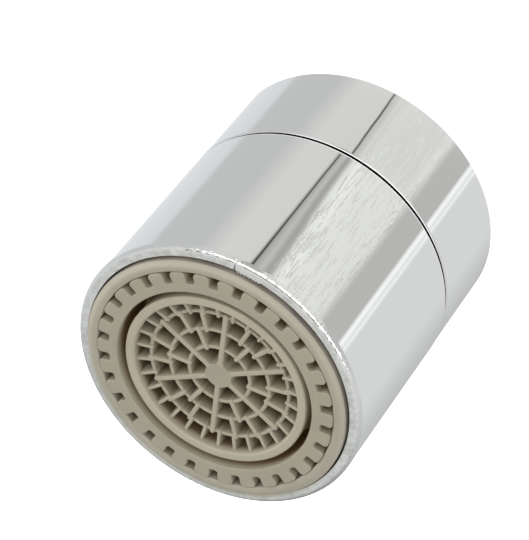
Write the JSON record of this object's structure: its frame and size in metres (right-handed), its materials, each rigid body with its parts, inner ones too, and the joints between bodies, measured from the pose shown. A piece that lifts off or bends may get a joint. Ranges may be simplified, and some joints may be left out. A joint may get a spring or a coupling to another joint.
{
  "type": "tap aerator",
  "caption": "Straight round tap aerator: a chromed collar with a female tap thread turns on a chromed housing that holds a plastic cartridge with an air-slot ring and a honeycomb outlet.",
  "frame": {"origin": "centre of the flat inlet face, on which the part stands; bottom centre of its box", "axes": "+Z along the flow, from the inlet to the outlet; +X through the middle of one air slot"},
  "size_m": [0.026, 0.026, 0.0282],
  "materials": {
    "chrome_shell": "bright chrome plate on brass, slightly uneven, with a satin, pitted lip",
    "beige_plastic": "matte moulded beige plastic",
    "grey_plastic": "matte moulded plastic",
    "white_acetal": "smooth natural acetal",
    "black_rubber": "matte black rubber",
    "bare_brass": "turned bare brass",
    "steel_mesh": "fine woven stainless mesh"
  },
  "bodies": {
    "collar": {"collar": "chrome_shell", "inlet_washer": "black_rubber", "slip_ring": "white_acetal"},
    "head": {"stem": "bare_brass", "stem_seal": "black_rubber", "housing": "chrome_shell", "cartridge_gasket": "black_rubber", "cartridge_sleeve": "beige_plastic", "cartridge_o_ring": "black_rubber", "strainer_dome": "grey_plastic", "regulator_body": "grey_plastic", "regulator_ring": "black_rubber", "jet_plate": "grey_plastic", "mixing_ring": "beige_plastic", "upper_screen": "steel_mesh", "middle_screen": "steel_mesh", "lower_screen": "steel_mesh", "screen_spacer": "beige_plastic", "slotted_ring": "beige_plastic", "outlet_grid": "beige_plastic"}
  },
  "joints": [
    {"name": "swivel", "type": "hinge", "parent": "collar", "child": "head", "pos_m": [0, 0, 0.0089], "axis": [0, 0, 1], "continuous": true}
  ]
}
